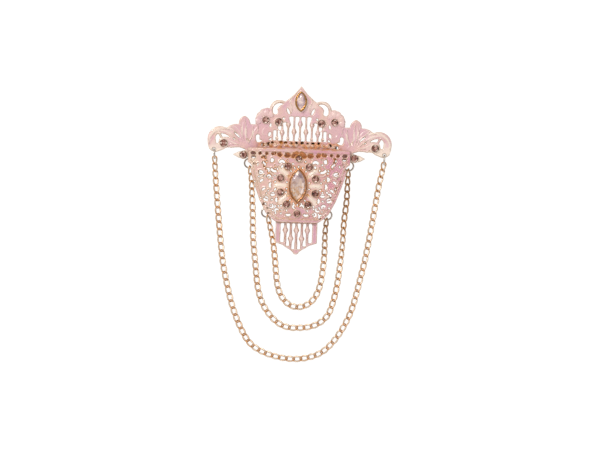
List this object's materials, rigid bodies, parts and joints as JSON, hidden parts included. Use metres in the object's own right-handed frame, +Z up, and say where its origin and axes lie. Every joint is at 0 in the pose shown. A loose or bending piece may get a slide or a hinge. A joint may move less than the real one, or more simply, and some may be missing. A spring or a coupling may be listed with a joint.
{
  "type": "lapel chain",
  "caption": "Pierced crest and domed shield brooch with cut stones, a lattice tab and swags of curb chain hung from jump rings.",
  "frame": {"origin": "middle of the bounding box on the surface that the brooch lies on", "axes": "+Z up out of the face, +Y to the tip of the spade, +X to the right as it is looked at"},
  "size_m": [0.084, 0.1258, 0.0122],
  "materials": {
    "rose_enamel": "pearly rose enamel over a cast metal, worn to champagne at the edges",
    "gold": "orange-brown gilt, soft shine",
    "chain_gold": "pale rose gilt, polished",
    "round_stone": "smoky rose cut glass with a foiled back",
    "navette": "pale champagne cut glass with a foiled back"
  },
  "bodies": {
    "root": {"crest_plate": "rose_enamel", "shield_plate": "rose_enamel", "pin_back": "gold", "bezel_centre": "gold", "bezel_top": "gold", "navette_centre": "navette", "navette_top": "navette", "chain_outer": "chain_gold", "chain_middle": "chain_gold", "chain_inner": "chain_gold", "ring_outer_l": "chain_gold", "ring_outer_r": "chain_gold", "ring_middle_l": "chain_gold", "ring_middle_r": "chain_gold", "ring_inner_l": "chain_gold", "ring_inner_r": "chain_gold", "stone_volute_l": "round_stone", "stone_volute_r": "round_stone", "stone_inner_l": "round_stone", "stone_inner_r": "round_stone", "stone_outer_l": "round_stone", "stone_outer_r": "round_stone", "stone_drop_l": "round_stone", "stone_drop_r": "round_stone", "stone_cluster_1": "round_stone", "stone_cluster_2": "round_stone", "stone_cluster_3": "round_stone", "stone_cluster_4": "round_stone", "stone_cluster_5": "round_stone", "stone_cluster_6": "round_stone", "stone_cluster_7": "round_stone", "stone_cluster_8": "round_stone", "stone_above": "round_stone", "stone_below": "round_stone"}
  },
  "joints": []
}
